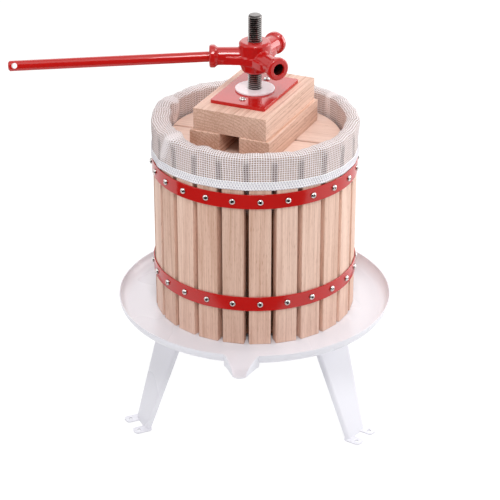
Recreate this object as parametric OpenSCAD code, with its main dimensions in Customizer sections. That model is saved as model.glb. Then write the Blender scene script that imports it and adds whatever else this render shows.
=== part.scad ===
// Basket fruit press on a three-legged tray: a slatted wooden basket with a cloth bag,
// pressing boards and blocks, and a three-armed nut on a fixed threaded rod.
// Millimetres. The origin is on the floor under the rod, +Z is up and the spout points along -Y.

/* [Tray] */
// Height of the tray's floor above the ground
floor_h = 177; // [140:1:240]
// Outer radius of the tray
tray_r = 204; // [190:1:230]
// Height of the tray's lip above its floor
lip_h = 12.5; // [9:0.5:30]
// Depth of the juice channel below the tray's floor
channel_drop = 4; // [2:0.5:8]
// Thickness of the tray's sheet steel
tray_t = 1.5; // [1:0.1:3]
// Outer radius of the bend between the channel and the lip
tray_bend = 16; // [8:0.5:18]
// Width of the spout where it leaves the lip
spout_w = 50; // [40:1:60]
// Length of the spout past the lip
spout_reach = 32; // [28:1:70]
// Narrowing of the spout on each side, just past the lip
spout_flare = 4; // [1:0.5:6]
// Fall of the spout's floor from the channel to the tip
spout_drop = 1; // [1:0.5:10]
// Inner radius of the spout's tip
spout_tip_r = 10; // [5:0.5:12]
// Height of the spout's walls at the tip
spout_tip_wall = 4; // [2:0.5:8]

/* [Legs] */
// Thickness of the legs' sheet steel
leg_t = 2; // [1.5:0.1:3]
// Radius of the circle on which the legs meet the ground
leg_foot_r = 189; // [170:1:210]
// Radius of the circle on which the legs meet the tray
leg_top_r = 132; // [124:1:150]
// Width of a leg at the tray
leg_top_w = 90; // [70:1:110]
// Width of a leg at the ground
leg_foot_w = 50; // [44:1:60]
// Radius in which the long edges of a leg turn back
leg_edge_r = 9; // [6:0.5:12]
// Angle by which those edges turn back
leg_edge_turn = 60; // [40:1:80]
// Depth of the flange that is bolted under the tray
leg_flange = 36; // [30:1:44]
// Length of a foot's ears past the leg
ear_l = 19; // [16:0.5:26]
// Width of each ear
ear_w = 17; // [14:0.5:20]
// Width of the notch between the two ears
ear_notch = 18; // [12:0.5:24]
// Diameter of the screw hole in each ear
ear_hole_d = 5.5; // [4:0.1:7]
// Diameter of the bolts that hold the legs
leg_bolt_d = 6; // [5:0.5:8]
// Spacing of the two bolts of a leg
leg_bolt_gap = 50; // [40:1:60]

/* [Screw] */
// Diameter of the threaded rod
rod_d = 20; // [16:0.5:24]
// Length of rod that stands above the nut
rod_above = 39; // [30:1:80]
// Length of rod below the tray's floor
rod_below = 30; // [26:1:45]
// Size across the flats of the nuts that clamp the rod
rod_nut_flats = 30; // [26:0.5:36]
// Height of the nuts that clamp the rod
rod_nut_h = 16; // [10:0.5:18]

/* [Basket] */
// Number of slats
slat_n = 24; // [20:1:28]
// Length of the slats
slat_l = 291; // [260:1:360]
// Thickness of the slats
slat_t = 16; // [12:0.5:20]
// Gap between two slats at their outer faces
slat_gap = 7.5; // [6:0.5:12]
// Distance from the rod's axis to a slat's outer face
basket_r = 148; // [145:0.5:160]
// Turn of the basket about the rod, from a slat over the spout
basket_turn = 8.3; // [0:0.1:15]
// Width of the hoops
band_w = 22; // [16:0.5:30]
// Thickness of the hoops
band_t = 1.5; // [1:0.1:3]
// Height of the lower hoop's middle above the slats' lower ends
lower_band_h = 66.5; // [50:0.5:90]
// Depth of the upper hoop's middle below the slats' upper ends
upper_band_drop = 63.7; // [55:0.1:90]
// Head diameter of the hoop screws
band_screw_head_d = 8.6; // [7:0.1:10]
// Shank diameter of the hoop screws
band_screw_d = 4; // [3:0.1:5]
// Length of the hoop screws under the head
band_screw_l = 13; // [9:0.5:15]

/* [Bag] */
// Thickness of the bag's cloth, with its seams
cloth_t = 1; // [0.6:0.1:2]
// Rise of the rounded fold above the slats
bag_fold_h = 4; // [3:0.5:8]
// Width of the sewn hem
hem_w = 13; // [8:0.5:18]
// Thickness of the sewn hem
hem_t = 1.4; // [1:0.1:2]
// Gap between the hem and the upper hoop
hem_gap = 4; // [1:0.5:8]

/* [Pressing stack] */
// Radius of the pressing boards
board_r = 126; // [115:0.5:128]
// Thickness of the pressing boards
board_t = 25; // [18:0.5:32]
// Width of the two planks beside the split
plank_w = 66; // [55:0.5:80]
// Width of the split between the two boards
board_split = 5; // [0.5:0.1:8]
// Depth of the boards' top below the slats' top
board_sink = 26; // [20:1:60]
// Turn of the split from the X axis
board_turn = -12; // [-45:1:45]
// Height of the pressing blocks
block_h = 33; // [25:0.5:45]
// Length of the two lower blocks
lower_block_l = 180; // [150:1:190]
// Width of each lower block
lower_block_w = 46.5; // [35:0.5:48]
// Space between the two lower blocks
lower_block_gap = 30; // [26:0.5:36]
// Length of the upper block
top_block_l = 176; // [150:1:190]
// Width of the upper block
top_block_w = 112; // [95:1:120]
// Turn of the blocks' length from the X axis
block_turn = 71.3; // [45:0.1:95]
// Length of the steel plate
plate_l = 124; // [100:1:140]
// Width of the steel plate
plate_w = 84; // [70:1:94]
// Thickness of the steel plate
plate_t = 5; // [3:0.5:8]
// Corner radius of the steel plate
plate_corner_r = 3; // [1:0.5:6]
// Distance of the plate's screws from the rod
plate_screw_r = 43; // [36:0.5:48]
// Diameter of the washer under the nut
washer_d = 57; // [46:0.5:64]
// Thickness of the washer under the nut
washer_t = 3; // [2:0.5:6]

/* [Nut and handle] */
// Gap between the washer and the nut
nut_gap = 25; // [4:0.5:35]
// Height of the nut's barrel
hub_h = 46; // [42:0.5:60]
// Diameter of the nut's barrel
hub_d = 46; // [40:0.5:54]
// Diameter of the barrel's foot
hub_foot_d = 38; // [34:0.5:44]
// Diameter of the three arms
arm_d = 26; // [22:0.5:30]
// Distance from the rod's axis to the arms' ends
arm_r = 65; // [56:0.5:80]
// Diameter of the collar at an arm's end
collar_d = 33; // [29:0.5:40]
// Width of that collar
collar_w = 10; // [6:0.5:14]
// Thickness of the web between the arms
web_t = 11; // [6:0.5:16]
// Depth of that web's middle below the arms' middle
web_drop = 3; // [0:0.5:5]
// Turn of the handle's arm from the X axis
handle_turn = 186.5; // [160:0.5:220]
// Diameter of the handle bar
bar_d = 15; // [12:0.5:16]
// Distance from the rod's axis to the bar's free end
bar_r = 350; // [300:1:450]
// Depth of the arms' sockets
socket_depth = 34; // [28:0.5:42]
// Play of the bar in its socket, on each side
socket_play = 0.8; // [0.4:0.05:0.9]
// Direction in which the bar tips in its socket, from straight down to straight sideways
tip_turn = 28; // [0:1:90]
// Diameter of the hole across the bar's free end
bar_hole_d = 8; // [5:0.5:9]
// Turn of that hole about the bar, from upright towards level
bar_hole_turn = 69; // [0:1:90]

/* [Hidden] */
$fn = 64;
// Clearance between the bag's cloth and what it lies on
cloth_gap = 0.4;
// Clearance round the rod of the pieces that slide along it
slide_gap = 0.3;
// Clearance of a nut on its thread and of a screw in the hole that it cut
thread_gap = 0.06;
// Clearance between the slats' corners and the hoops
hoop_gap = 0.15;
// Clearance round a bolt in a plain hole
bolt_gap = 0.3;
// Clearance under the slats, which lift off the tray's floor
basket_gap = 0.05;
// Clearance left where the tipped bar comes nearest to its socket
tip_gap = 0.1;
// Overlap of a cut past the face that it leaves
cut = 1;

// Tray and legs
dish_bend = min(tray_bend, lip_h + channel_drop);
leg_n = 3;
leg_dir = [for (i = [0 : leg_n - 1]) -30 + i * 360 / leg_n];
leg_top_z = floor_h - tray_t;
leg_lean = atan((leg_foot_r - leg_top_r) / leg_top_z);
leg_length = leg_top_z / cos(leg_lean);
ear_hole_y = (ear_notch + ear_w) / 2;
ear_hole_x = leg_foot_r + ear_l - ear_w / 2;
ear_corner_r = 6;
leg_bolt_r = leg_top_r - leg_flange / 2;
leg_bolt_head_h = 3;
leg_bolt_head_d = 2 * leg_bolt_d;
leg_washer_t = 1.2;
leg_nut_h = 0.8 * leg_bolt_d;
leg_nut_flats = 1.65 * leg_bolt_d;
leg_bolt_tail = 2;

// Basket, from the tray's floor up
slat_w = 2 * basket_r * tan(180 / slat_n) - slat_gap;
slat_low_z = floor_h + basket_gap;
slat_top_z = slat_low_z + slat_l;
slat_corner_r = norm([basket_r, slat_w / 2]);
rise_r = slat_corner_r + 4;
channel_r = rise_r + 2 * channel_drop;
band_in_r = slat_corner_r + hoop_gap;
band_out_r = band_in_r + band_t;
band_z = [slat_low_z + lower_band_h, slat_top_z - upper_band_drop];
band_screw_head_h = 3.2;
bag_in_r = basket_r - slat_t - cloth_gap - cloth_t;
bag_out_r = slat_corner_r + cloth_gap + cloth_t;
bag_floor_z = floor_h + leg_bolt_head_h + cloth_gap;
bag_rim_z = slat_top_z + cloth_gap;
hem_low_z = band_z[1] + band_w / 2 + hem_gap;
hem_top_z = hem_low_z + hem_w;

// Clamping of the rod in the tray
rod_washer_t = 3;
rod_washer_d = rod_nut_flats + 16;
rod_plate_d = 2 * rod_washer_d;
rod_hole_d = rod_d + 2 * slide_gap;
bag_hole_r = rod_washer_d / 2 + 3;

// Pressing stack, from the boards up
board_z = slat_top_z - board_sink - board_t;
lower_block_z = board_z + board_t;
top_block_z = lower_block_z + block_h;
plate_z = top_block_z + block_h;
washer_z = plate_z + plate_t;
hub_z = washer_z + washer_t + nut_gap;
arm_z = hub_z + hub_h / 2;
rod_top_z = hub_z + hub_h + rod_above;
board_hole_d = rod_d + 6;
plate_screw_d = 5;
plate_screw_l = 22;
plate_screw_head_d = 9.5;
plate_screw_head_h = 2.6;

// Nut and handle
arm_n = 3;
socket_d = bar_d + 2 * socket_play;
socket_end_r = arm_r - socket_depth;
bar_tip = atan((socket_play - tip_gap) / (socket_depth / 2));
hub_round = 3;
collar_round = 2;
web_low_r = hub_d / 2 + 1;
web_high_r = arm_r - collar_w;
bar_end_gap = 1;
bar_hole_inset = 9;
bar_round = 2;

PLANKS = ["press_plank_front_inner", "press_plank_front_outer",
    "press_plank_back_inner", "press_plank_back_outer"];
SLATS = [for (i = [1 : slat_n]) str("slat_", i)];
LEGS = [for (i = [1 : leg_n]) str("leg_", i)];

// Points on an arc about a centre, from one angle to another
function arc(centre, r, from, to, steps = 8) =
    [for (i = [0 : steps]) let (a = from + (to - from) * i / steps) centre + r * [cos(a), sin(a)]];

// A flat rectangle about the origin with round corners
module round_rect(l, w, r) {
    square([l, w - 2 * r], center = true);
    square([l - 2 * r, w], center = true);
    for (x = [-1, 1], y = [-1, 1])
        translate([x * (l / 2 - r), y * (w / 2 - r)]) circle(r);
}

// A washer or a ring that stands on z = 0
module ring(outer_d, inner_d, h) {
    difference() {
        cylinder(h = h, d = outer_d);
        translate([0, 0, -cut]) cylinder(h = h + 2 * cut, d = inner_d);
    }
}

// A hexagon nut that stands on z = 0
module hex_nut(flats, bore_d, h) {
    difference() {
        cylinder(h = h, d = flats / cos(30), $fn = 6);
        translate([0, 0, -cut]) cylinder(h = h + 2 * cut, d = bore_d);
    }
}

// A round-headed screw: the head stands on z = 0 and the shank goes down
module screw(head_d, head_h, shank_d, shank_l) {
    edge = head_h / 3;
    dome = head_h - edge;
    rotate_extrude()
        polygon(concat([[0, -shank_l], [shank_d / 2, -shank_l], [shank_d / 2, 0], [head_d / 2, 0],
            [head_d / 2, edge]], [for (a = [15 : 15 : 75])
            [head_d / 2 * cos(a), edge + dome * sin(a)]], [[0, head_h]]));
}

// The places of the legs' bolts, seen from above
module at_leg_bolts() {
    for (turn = leg_dir, side = [-1, 1])
        rotate(turn) translate([leg_bolt_r, side * leg_bolt_gap / 2]) children();
}

// The shape of the dish, as a solid of the given wall offset: a raised floor in a round channel
module dish(inset) {
    bend = dish_bend - inset;
    mid = inset - tray_t;
    low = mid - channel_drop;
    wall = tray_r - inset;
    top = inset > 0 ? lip_h + cut : lip_h;
    rotate_extrude($fn = 128)
        polygon(concat([[0, mid], [rise_r, mid], [channel_r, low]],
            arc([wall - bend, low + bend], bend, -90, 0, 12), [[wall, top], [0, top]]));
}

// A block across the spout, from the given distance inwards
module spout_rib(y, w, l, low, top) {
    translate([-w / 2, -y, low]) cube([w, l, top - low]);
}

// The shape of the spout, as a solid of the given wall offset
module spout_shape(inset) {
    low = inset - tray_t - channel_drop;
    over = inset > 0 ? lip_h : 0;
    mouth = inset > 0 ? 2 * tray_t : 0;
    root_y = tray_r - tray_t;
    neck_y = root_y + 1.5 * spout_flare;
    neck_w = spout_w - 2 * spout_flare;
    tip_y = tray_r + spout_reach - spout_tip_r - tray_t;
    hull() {
        spout_rib(root_y, spout_w - 2 * inset, dish_bend, low, lip_h + over);
        spout_rib(neck_y, neck_w - 2 * inset, 1, low, lip_h - spout_flare / 2 + over);
    }
    hull() {
        spout_rib(neck_y, neck_w - 2 * inset, 1, low, lip_h - spout_flare / 2 + over);
        translate([0, -tip_y - mouth, low - spout_drop])
            cylinder(h = tray_t - inset + spout_tip_wall + 2 * over, r = spout_tip_r + tray_t - inset,
                $fn = 32);
    }
}

module tray() {
    color("white") translate([0, 0, floor_h]) difference() {
        union() {
            dish(0);
            spout_shape(0);
        }
        dish(tray_t);
        spout_shape(tray_t);
        translate([0, 0, -tray_t - cut]) cylinder(h = tray_t + 2 * cut, d = rod_hole_d);
        at_leg_bolts() translate([0, 0, -tray_t - cut])
            cylinder(h = tray_t + 2 * cut, d = leg_bolt_d + 2 * bolt_gap);
    }
}

// The width of a leg at a distance along it from the ground
function leg_w(h) = leg_foot_w + (leg_top_w - leg_foot_w) * h / leg_length;

// The tapered shape of a leg, as a solid of the given wall offset: a flat face with edges that turn back
module leg_shape(inset) {
    r = leg_edge_r - inset;
    hull() for (h = [-leg_edge_r, leg_length + leg_edge_r]) let (mid = leg_w(h) / 2 - leg_edge_r)
        translate([0, 0, h]) linear_extrude(0.1)
            polygon(concat(arc([mid, -leg_edge_r], r, 90 - leg_edge_turn, 90),
                arc([-mid, -leg_edge_r], r, 90, 90 + leg_edge_turn)));
}

// One bent sheet: a tapered face, a flange under the tray and two ears on the ground
module leg(turn) {
    flange_w = leg_top_w - 2 * leg_edge_r;
    color("white") rotate(turn) difference() {
        union() {
            intersection() {
                translate([leg_foot_r, 0, 0]) rotate([0, -leg_lean, 0]) rotate(-90) difference() {
                    leg_shape(0);
                    leg_shape(leg_t);
                }
                translate([0, -leg_top_w, 0]) cube([2 * leg_foot_r, 2 * leg_top_w, leg_top_z]);
            }
            translate([leg_top_r - leg_flange, -flange_w / 2, leg_top_z - leg_t])
                cube([leg_flange, flange_w, leg_t]);
            for (side = [-1, 1])
                translate([leg_foot_r + (ear_l - leg_edge_r) / 2, side * ear_hole_y, 0])
                    linear_extrude(leg_t) round_rect(ear_l + leg_edge_r, ear_w, ear_corner_r);
        }
        for (side = [-1, 1]) {
            translate([ear_hole_x, side * ear_hole_y, -cut]) cylinder(h = leg_t + 2 * cut, d = ear_hole_d);
            translate([leg_bolt_r, side * leg_bolt_gap / 2, leg_top_z - leg_t - cut])
                cylinder(h = leg_t + 2 * cut, d = leg_bolt_d + 2 * bolt_gap);
        }
    }
}

module leg_bolts() {
    shank = tray_t + leg_t + leg_washer_t + leg_nut_h + leg_bolt_tail;
    color("silver") translate([0, 0, floor_h]) at_leg_bolts()
        screw(leg_bolt_head_d, leg_bolt_head_h, leg_bolt_d, shank);
}

module leg_washers() {
    color("silver") translate([0, 0, leg_top_z - leg_t - leg_washer_t]) at_leg_bolts()
        ring(leg_bolt_head_d, leg_bolt_d + 2 * bolt_gap, leg_washer_t);
}

module leg_nuts() {
    color("silver") translate([0, 0, leg_top_z - leg_t - leg_washer_t - leg_nut_h]) at_leg_bolts()
        hex_nut(leg_nut_flats, leg_bolt_d + 2 * thread_gap, leg_nut_h);
}

// The rod stands still, clamped in the tray's floor between two nuts
module screw_rod() {
    low = floor_h - rod_below;
    bevel = rod_d / 10;
    color("dimgray") rotate_extrude()
        polygon([[0, low], [rod_d / 2 - bevel, low], [rod_d / 2, low + bevel], [rod_d / 2, rod_top_z - bevel],
            [rod_d / 2 - bevel, rod_top_z], [0, rod_top_z]]);
}

module rod_washer() {
    color("silver") translate([0, 0, floor_h]) ring(rod_washer_d, rod_hole_d, rod_washer_t);
}

module rod_nut() {
    color("silver") translate([0, 0, floor_h + rod_washer_t])
        hex_nut(rod_nut_flats, rod_d + 2 * thread_gap, rod_nut_h);
}

module rod_plate() {
    color("silver") translate([0, 0, leg_top_z - rod_washer_t]) ring(rod_plate_d, rod_hole_d, rod_washer_t);
}

module rod_lock_nut() {
    nut_h = min(rod_nut_h, rod_below - tray_t - rod_washer_t - 2);
    color("silver") translate([0, 0, leg_top_z - rod_washer_t - nut_h])
        hex_nut(rod_nut_flats, rod_d + 2 * thread_gap, nut_h);
}

// The direction of a slat, seen from above, with the spout at -90
function slat_dir(i) = -90 + basket_turn + (i - 1) * 360 / slat_n;

module slat(i) {
    color("burlywood") rotate(slat_dir(i)) difference() {
        translate([basket_r - slat_t, -slat_w / 2, slat_low_z]) cube([slat_t, slat_w, slat_l]);
        for (z = band_z) translate([band_out_r - band_screw_l - thread_gap, 0, z]) rotate([0, 90, 0])
            cylinder(h = band_screw_l, d = band_screw_d + 2 * thread_gap);
    }
}

module hoop(z) {
    color("red") translate([0, 0, z]) difference() {
        translate([0, 0, -band_w / 2]) ring(2 * band_out_r, 2 * band_in_r, band_w, $fn = 128);
        for (i = [1 : slat_n]) rotate(slat_dir(i)) translate([band_in_r - band_t, 0, 0]) rotate([0, 90, 0])
            cylinder(h = 3 * band_t, d = band_screw_d + 2 * bolt_gap);
    }
}

module hoop_screws(z) {
    color("silver") for (i = [1 : slat_n])
        rotate(slat_dir(i)) translate([band_out_r, 0, z]) rotate([0, 90, 0])
            screw(band_screw_head_d, band_screw_head_h, band_screw_d, band_screw_l);
}

// The bag lines the slats, folds over their tops and hangs down outside
module filter_bag() {
    mid_r = (bag_in_r + bag_out_r) / 2;
    half = (bag_out_r - bag_in_r) / 2;
    fold = [for (a = [0 : 15 : 180]) [-cos(a), sin(a)]];
    outer = [for (p = fold) [mid_r + p[0] * half, bag_rim_z + p[1] * (bag_fold_h + cloth_t)]];
    inner = [for (p = fold) [mid_r + p[0] * (half - cloth_t), bag_rim_z + p[1] * bag_fold_h]];
    last = len(fold) - 1;
    color("ivory") rotate_extrude($fn = 128)
        polygon(concat([[bag_hole_r, bag_floor_z], [bag_hole_r, bag_floor_z + cloth_t],
            [bag_in_r, bag_floor_z + cloth_t]], outer,
            [[bag_out_r, hem_top_z], [bag_out_r - cloth_t, hem_top_z]],
            [for (i = [last : -1 : 0]) inner[i]], [[bag_in_r + cloth_t, bag_floor_z]]));
}

module bag_hem() {
    color("white") translate([0, 0, hem_low_z])
        ring(2 * (bag_out_r - cloth_t + hem_t), 2 * (bag_out_r - cloth_t), hem_w, $fn = 128);
}

// Two half-round boards, each of two planks: side 1 is behind the split, -1 in front of it
module press_plank(side, inner) {
    near = inner ? board_split / 2 : plank_w;
    far = inner ? plank_w : board_r + cut;
    color("wheat") translate([0, 0, board_z]) rotate(board_turn) difference() {
        intersection() {
            cylinder(h = board_t, r = board_r, $fn = 128);
            translate([-board_r, side > 0 ? near : -far, 0]) cube([2 * board_r, far - near, board_t]);
        }
        translate([0, 0, -cut]) cylinder(h = board_t + 2 * cut, d = board_hole_d);
    }
}

module lower_block(side) {
    low = side > 0 ? lower_block_gap / 2 : -lower_block_gap / 2 - lower_block_w;
    color("wheat") translate([0, 0, lower_block_z]) rotate(block_turn)
        translate([-lower_block_l / 2, low, 0]) cube([lower_block_l, lower_block_w, block_h]);
}

// The places of the plate's two screws, on the blocks' long axis
module at_plate_screws() {
    for (side = [-1, 1]) rotate(block_turn) translate([side * plate_screw_r, 0]) children();
}

module top_block() {
    color("wheat") translate([0, 0, top_block_z]) difference() {
        rotate(block_turn) translate([-top_block_l / 2, -top_block_w / 2, 0])
            cube([top_block_l, top_block_w, block_h]);
        translate([0, 0, -cut]) cylinder(h = block_h + 2 * cut, d = board_hole_d);
        at_plate_screws() translate([0, 0, block_h + plate_t - plate_screw_l - thread_gap])
            cylinder(h = plate_screw_l, d = plate_screw_d + 2 * thread_gap);
    }
}

module pressure_plate() {
    color("red") translate([0, 0, plate_z]) difference() {
        rotate(block_turn) linear_extrude(plate_t) round_rect(plate_l, plate_w, plate_corner_r);
        translate([0, 0, -cut]) cylinder(h = plate_t + 2 * cut, d = rod_hole_d);
        at_plate_screws() translate([0, 0, -cut])
            cylinder(h = plate_t + 2 * cut, d = plate_screw_d + 2 * bolt_gap);
    }
}

module plate_screws() {
    color("silver") translate([0, 0, washer_z]) at_plate_screws()
        screw(plate_screw_head_d, plate_screw_head_h, plate_screw_d, plate_screw_l);
}

module thrust_washer() {
    color("mistyrose") translate([0, 0, washer_z]) ring(washer_d, rod_hole_d, washer_t);
}

// The web between the arms: a flat star with hollow sides
module arm_web() {
    step = 5;
    linear_extrude(web_t, center = true)
        polygon([for (a = [0 : step : 360 - step])
            let (reach = pow(abs(cos(a * arm_n / 2)), 4), r = web_low_r + (web_high_r - web_low_r) * reach)
                r * [cos(a), sin(a)]]);
}

// One arm with its collar, along +X
module arm() {
    collar_in = arm_r - collar_w;
    rotate([0, 90, 0]) rotate_extrude()
        polygon([[0, 0], [arm_d / 2, 0], [arm_d / 2, collar_in - collar_round],
            [collar_d / 2 - collar_round, collar_in], [collar_d / 2, collar_in + collar_round],
            [collar_d / 2, arm_r - collar_round], [collar_d / 2 - collar_round, arm_r], [0, arm_r]]);
}

module nut_hub() {
    half = hub_h / 2;
    color("red") translate([0, 0, arm_z]) difference() {
        union() {
            rotate_extrude()
                polygon([[0, -half], [hub_foot_d / 2 - hub_round, -half], [hub_foot_d / 2, hub_round - half],
                    [hub_d / 2, -web_t / 2 - web_drop], [hub_d / 2, half - hub_round],
                    [hub_d / 2 - hub_round, half], [0, half]]);
            rotate(handle_turn) {
                translate([0, 0, -web_drop]) arm_web();
                for (i = [0 : arm_n - 1]) rotate(i * 360 / arm_n) arm();
            }
        }
        translate([0, 0, -half - cut]) cylinder(h = hub_h + 2 * cut, d = rod_d + 2 * thread_gap);
        for (i = [0 : arm_n - 1]) rotate(handle_turn + i * 360 / arm_n)
            translate([socket_end_r, 0, 0]) rotate([0, 90, 0]) cylinder(h = socket_depth + cut, d = socket_d);
    }
}

// The bar tips about the middle of its socket
module handle_bar() {
    tip_r = arm_r - socket_depth / 2;
    low = socket_end_r + bar_end_gap - tip_r;
    high = bar_r - tip_r;
    color("red") translate([0, 0, arm_z]) rotate(handle_turn) translate([tip_r, 0, 0])
        rotate([0, bar_tip * cos(tip_turn), bar_tip * sin(tip_turn)])
        difference() {
            rotate([0, 90, 0]) rotate_extrude()
                polygon([[0, low], [bar_d / 2, low], [bar_d / 2, high - bar_round],
                    [bar_d / 2 - bar_round, high], [0, high]]);
            translate([high - bar_hole_inset, 0, 0]) rotate([-bar_hole_turn, 0, 0])
                translate([0, 0, -bar_d]) cylinder(h = 2 * bar_d, d = bar_hole_d);
        }
}

tray();
leg_bolts();
leg_washers();
leg_nuts();
screw_rod();
rod_washer();
rod_nut();
rod_plate();
rod_lock_nut();
for (i = [1 : leg_n])
    leg(leg_dir[i - 1]);
for (i = [1 : slat_n])
    slat(i);
hoop(band_z[0]);  // lower_hoop
hoop(band_z[1]);  // upper_hoop
hoop_screws(band_z[0]);  // lower_hoop_screws
hoop_screws(band_z[1]);  // upper_hoop_screws
filter_bag();
bag_hem();
press_plank(-1, true);  // press_plank_front_inner
press_plank(-1, false);  // press_plank_front_outer
press_plank(1, true);  // press_plank_back_inner
press_plank(1, false);  // press_plank_back_outer
lower_block(1);  // lower_block_left
lower_block(-1);  // lower_block_right
top_block();
pressure_plate();
plate_screws();
thrust_washer();
nut_hub();
handle_bar();
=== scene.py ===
import math
import bmesh
import bpy
import numpy as np
from mathutils import Matrix, Vector


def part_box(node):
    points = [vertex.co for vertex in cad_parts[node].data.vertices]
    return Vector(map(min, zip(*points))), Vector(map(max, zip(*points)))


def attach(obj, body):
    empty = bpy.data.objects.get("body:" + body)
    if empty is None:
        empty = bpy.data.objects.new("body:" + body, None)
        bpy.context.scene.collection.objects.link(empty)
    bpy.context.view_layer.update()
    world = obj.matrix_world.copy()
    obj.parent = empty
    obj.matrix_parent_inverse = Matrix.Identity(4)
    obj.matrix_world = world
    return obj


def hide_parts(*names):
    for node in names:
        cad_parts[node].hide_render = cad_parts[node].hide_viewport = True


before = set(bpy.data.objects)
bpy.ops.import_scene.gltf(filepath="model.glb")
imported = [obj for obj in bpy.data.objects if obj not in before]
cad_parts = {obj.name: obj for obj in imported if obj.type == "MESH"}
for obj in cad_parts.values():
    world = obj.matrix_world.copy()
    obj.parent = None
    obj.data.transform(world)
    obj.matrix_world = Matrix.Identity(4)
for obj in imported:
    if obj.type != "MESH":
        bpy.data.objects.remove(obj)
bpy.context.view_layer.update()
scene = bpy.context.scene
scene.view_settings.view_transform = "Standard"

# Camera: a long lens some three metres off, a little right of the spout and looking down
# on the basket at about 27 degrees, aimed just above the middle of the tray.
camera = bpy.data.objects.new("camera", bpy.data.cameras.new("camera"))
scene.collection.objects.link(camera)
scene.camera = camera
camera.data.sensor_width = 36.0
camera.data.lens = 135.98
camera.data.clip_end = 60.0
camera.location = (0.2331, -2.5130, 1.5202)
camera.rotation_euler = (math.radians(63.378), 0.0, math.radians(5.458))

# Studio: a seamless white floor that keeps a soft shadow, a white surround, five soft boxes
# (right, overhead, behind, front and left), and the unlit room behind the camera, which is
# out of the picture and shows only as the dark side of a gloss.
FLOOR_HALF, FLOOR_Z = 9.0, -0.0004
ROOM_FLOOR = [(-0.42, -0.5), (0.9, -0.5), (3.4, -3.4), (-4.0, -3.4), (-4.0, -0.1), (-0.75, -0.1)]
ROOM_H = 3.4
LAMP_AIM = Vector((0.0, 0.0, 0.33))
WHITE = (1.0, 1.0, 1.0, 1.0)


def node(tree, kind, sockets=None, **settings):
    made = tree.nodes.new(kind)
    for key, value in settings.items():
        setattr(made, key, value)
    for key, value in (sockets or {}).items():
        if isinstance(value, bpy.types.NodeSocket):
            tree.links.new(value, made.inputs[key])
        else:
            made.inputs[key].default_value = value
    return made


def maths(tree, operation, *values):
    return node(tree, "ShaderNodeMath", dict(enumerate(values)), operation=operation).outputs[0]


def bare_material(name):
    made = bpy.data.materials.new(name)
    made.use_nodes = True
    made.node_tree.nodes.clear()
    return made, made.node_tree


def seen_or_lighting(tree, seen, lighting):
    ray = node(tree, "ShaderNodeLightPath").outputs
    direct = maths(tree, "MAXIMUM", ray["Is Camera Ray"], ray["Is Glossy Ray"])
    direct = maths(tree, "MAXIMUM", direct, ray["Is Transmission Ray"])
    return node(tree, "ShaderNodeMixShader", {0: direct, 1: lighting, 2: seen}).outputs[0]


def mesh_of(name, verts, faces, edges=()):
    mesh = bpy.data.meshes.new(name)
    mesh.from_pydata([tuple(point) for point in verts], edges, faces)
    return mesh


def linked(name, mesh, coat):
    made = bpy.data.objects.new(name, mesh)
    scene.collection.objects.link(made)
    mesh.materials.clear()
    mesh.materials.append(coat)
    return made


def soft_box(name, place, width, height, watts):
    lamp = bpy.data.objects.new(name, bpy.data.lights.new(name, "AREA"))
    scene.collection.objects.link(lamp)
    lamp.data.shape = "RECTANGLE"
    lamp.data.size = width
    lamp.data.size_y = height
    lamp.data.energy = watts
    lamp.location = place
    lamp.rotation_euler = (lamp.location - LAMP_AIM).to_track_quat("Z", "Y").to_euler()


surround = bpy.data.worlds.new("white_surround")
scene.world = surround
surround.use_nodes = True
tree = surround.node_tree
tree.nodes.clear()
dim = node(tree, "ShaderNodeBackground", {"Color": (0.97, 0.98, 1.0, 1.0), "Strength": 0.43})
bright = node(tree, "ShaderNodeBackground", {"Color": WHITE, "Strength": 1.0})
backdrop = seen_or_lighting(tree, bright.outputs[0], dim.outputs[0])
node(tree, "ShaderNodeOutputWorld", {"Surface": backdrop})

floor_paper, tree = bare_material("floor_paper")
paper = node(tree, "ShaderNodeBsdfDiffuse", {"Color": (0.9, 0.9, 0.9, 1.0)})
shade = node(tree, "ShaderNodeBsdfDiffuse", {"Color": (0.30, 0.30, 0.30, 1.0)})
glow = node(tree, "ShaderNodeEmission", {"Color": WHITE, "Strength": 0.80})
lit = node(tree, "ShaderNodeAddShader", {0: shade.outputs[0], 1: glow.outputs[0]})
sheet = seen_or_lighting(tree, lit.outputs[0], paper.outputs[0])
node(tree, "ShaderNodeOutputMaterial", {"Surface": sheet})
square = [(x * FLOOR_HALF, y * FLOOR_HALF, FLOOR_Z) for x, y in ((-1, -1), (1, -1), (1, 1), (-1, 1))]
floor = linked("floor", mesh_of("floor", square, [(0, 1, 2, 3)]), floor_paper)

room_black, tree = bare_material("room_black")
drape = node(tree, "ShaderNodeBsdfDiffuse", {"Color": (0.04, 0.04, 0.04, 1.0)})
node(tree, "ShaderNodeOutputMaterial", {"Surface": drape.outputs[0]})
room_points = [(x, y, 0.0) for x, y in ROOM_FLOOR] + [(x, y, ROOM_H) for x, y in ROOM_FLOOR[2:4]]
room_mesh = mesh_of("dark_room", room_points, [(0, 1, 2, 3, 4, 5), (3, 2, 6, 7)])
room = linked("dark_room", room_mesh, room_black)
room.visible_camera = False
room.visible_diffuse = False
room.visible_transmission = False
room.visible_shadow = False

soft_box("right_soft_box", (2.2, 1.1, 0.95), 1.5, 1.6, 36.0)
soft_box("overhead_soft_box", (0.2, -0.5, 2.7), 2.2, 1.5, 9.0)
soft_box("back_soft_box", (0.1, 3.0, 2.0), 3.6, 2.6, 31.0)
soft_box("front_soft_box", (0.25, -1.75, 2.8), 0.6, 0.9, 33.0)
soft_box("left_soft_box", (-2.4, -1.1, 1.3), 1.4, 1.8, 10.5)

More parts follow.
